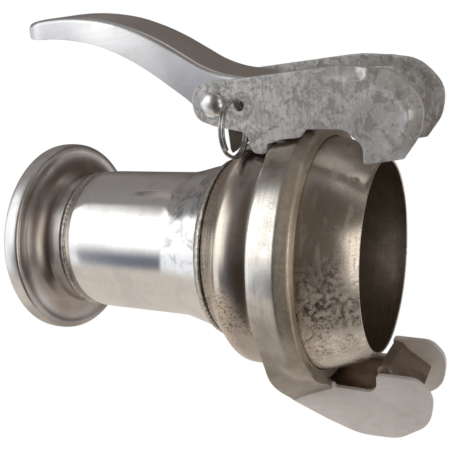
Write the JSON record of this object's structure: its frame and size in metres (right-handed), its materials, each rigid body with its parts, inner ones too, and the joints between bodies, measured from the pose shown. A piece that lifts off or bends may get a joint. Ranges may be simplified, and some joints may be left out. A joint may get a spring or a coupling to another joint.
{
  "type": "lever ring pipe coupling",
  "caption": "Ball end pipe coupling with a turning closure ring, lever, twin hook claws and fixed hook, on a flared tube with a rolled inlet rim.",
  "frame": {"origin": "centre of the ball, on the pipe axis", "axes": "+X along the pipe towards the ball's open mouth, +Z towards the lever, +Y across, away from the safety ring"},
  "size_m": [0.2135, 0.1274, 0.2105],
  "materials": {
    "ball_steel": "bare pressed steel, satin, with speckled oxide",
    "bright_steel": "polished bare steel",
    "ring_steel": "rolled steel, semi-bright",
    "hook_zinc": "galvanised sheet, satin",
    "claw_zinc": "galvanised sheet, dull and mottled",
    "handle_zinc": "bright zinc plated sheet",
    "rivet_steel": "bright zinc plated",
    "weld_bead": "weld metal, dull",
    "seal_rubber": "black nitrile rubber"
  },
  "bodies": {
    "coupling": {"ball_shell": "ball_steel", "reducer_tube": "bright_steel", "inlet_flange": "bright_steel", "ball_weld": "weld_bead", "inlet_weld": "weld_bead", "inlet_seal": "seal_rubber"},
    "closure": {"closure_ring": "ring_steel", "ring_tongue_near": "ring_steel", "ring_tongue_far": "ring_steel", "hook_plate_near": "hook_zinc", "hook_plate_far": "hook_zinc", "hook_web": "hook_zinc", "hook_floor": "hook_zinc", "hook_weld_near": "weld_bead", "hook_weld_far": "weld_bead", "lever_lug_near": "ring_steel", "lever_lug_far": "ring_steel", "lug_weld_near": "weld_bead", "lug_weld_far": "weld_bead", "lever_pin": "rivet_steel"},
    "lever": {"lever_handle": "handle_zinc", "rivet_spacer": "bright_steel"},
    "claws": {"claw_plate_near": "claw_zinc", "claw_plate_far": "claw_zinc", "claw_rivet": "rivet_steel", "claw_washer_near": "rivet_steel", "claw_washer_far": "rivet_steel", "claw_tie_bar": "bright_steel"},
    "safety_ring": {"safety_ring": "rivet_steel"}
  },
  "joints": [
    {"name": "closure_ring_spin", "type": "hinge", "parent": "coupling", "child": "closure", "pos_m": [0, 0, 0], "axis": [1, 0, 0], "continuous": true},
    {"name": "lever_pivot", "type": "hinge", "parent": "closure", "child": "lever", "pos_m": [-0.0015, 0, 0.0735], "axis": [0, 1, 0], "range_deg": [0, 105]},
    {"name": "claw_pivot", "type": "hinge", "parent": "lever", "child": "claws", "pos_m": [-0.0372, 0, 0.0777], "axis": [0, 1, 0], "range_deg": [-121, 0]},
    {"name": "safety_ring_swing", "type": "hinge", "parent": "claws", "child": "safety_ring", "pos_m": [-0.0245, -0.02, 0.0768], "axis": [0, 1, 0], "range_deg": [-6, 20]}
  ],
  "couplings": [
    {"joint": "claw_pivot", "follows": "lever_pivot", "ratio": -1.15}
  ]
}
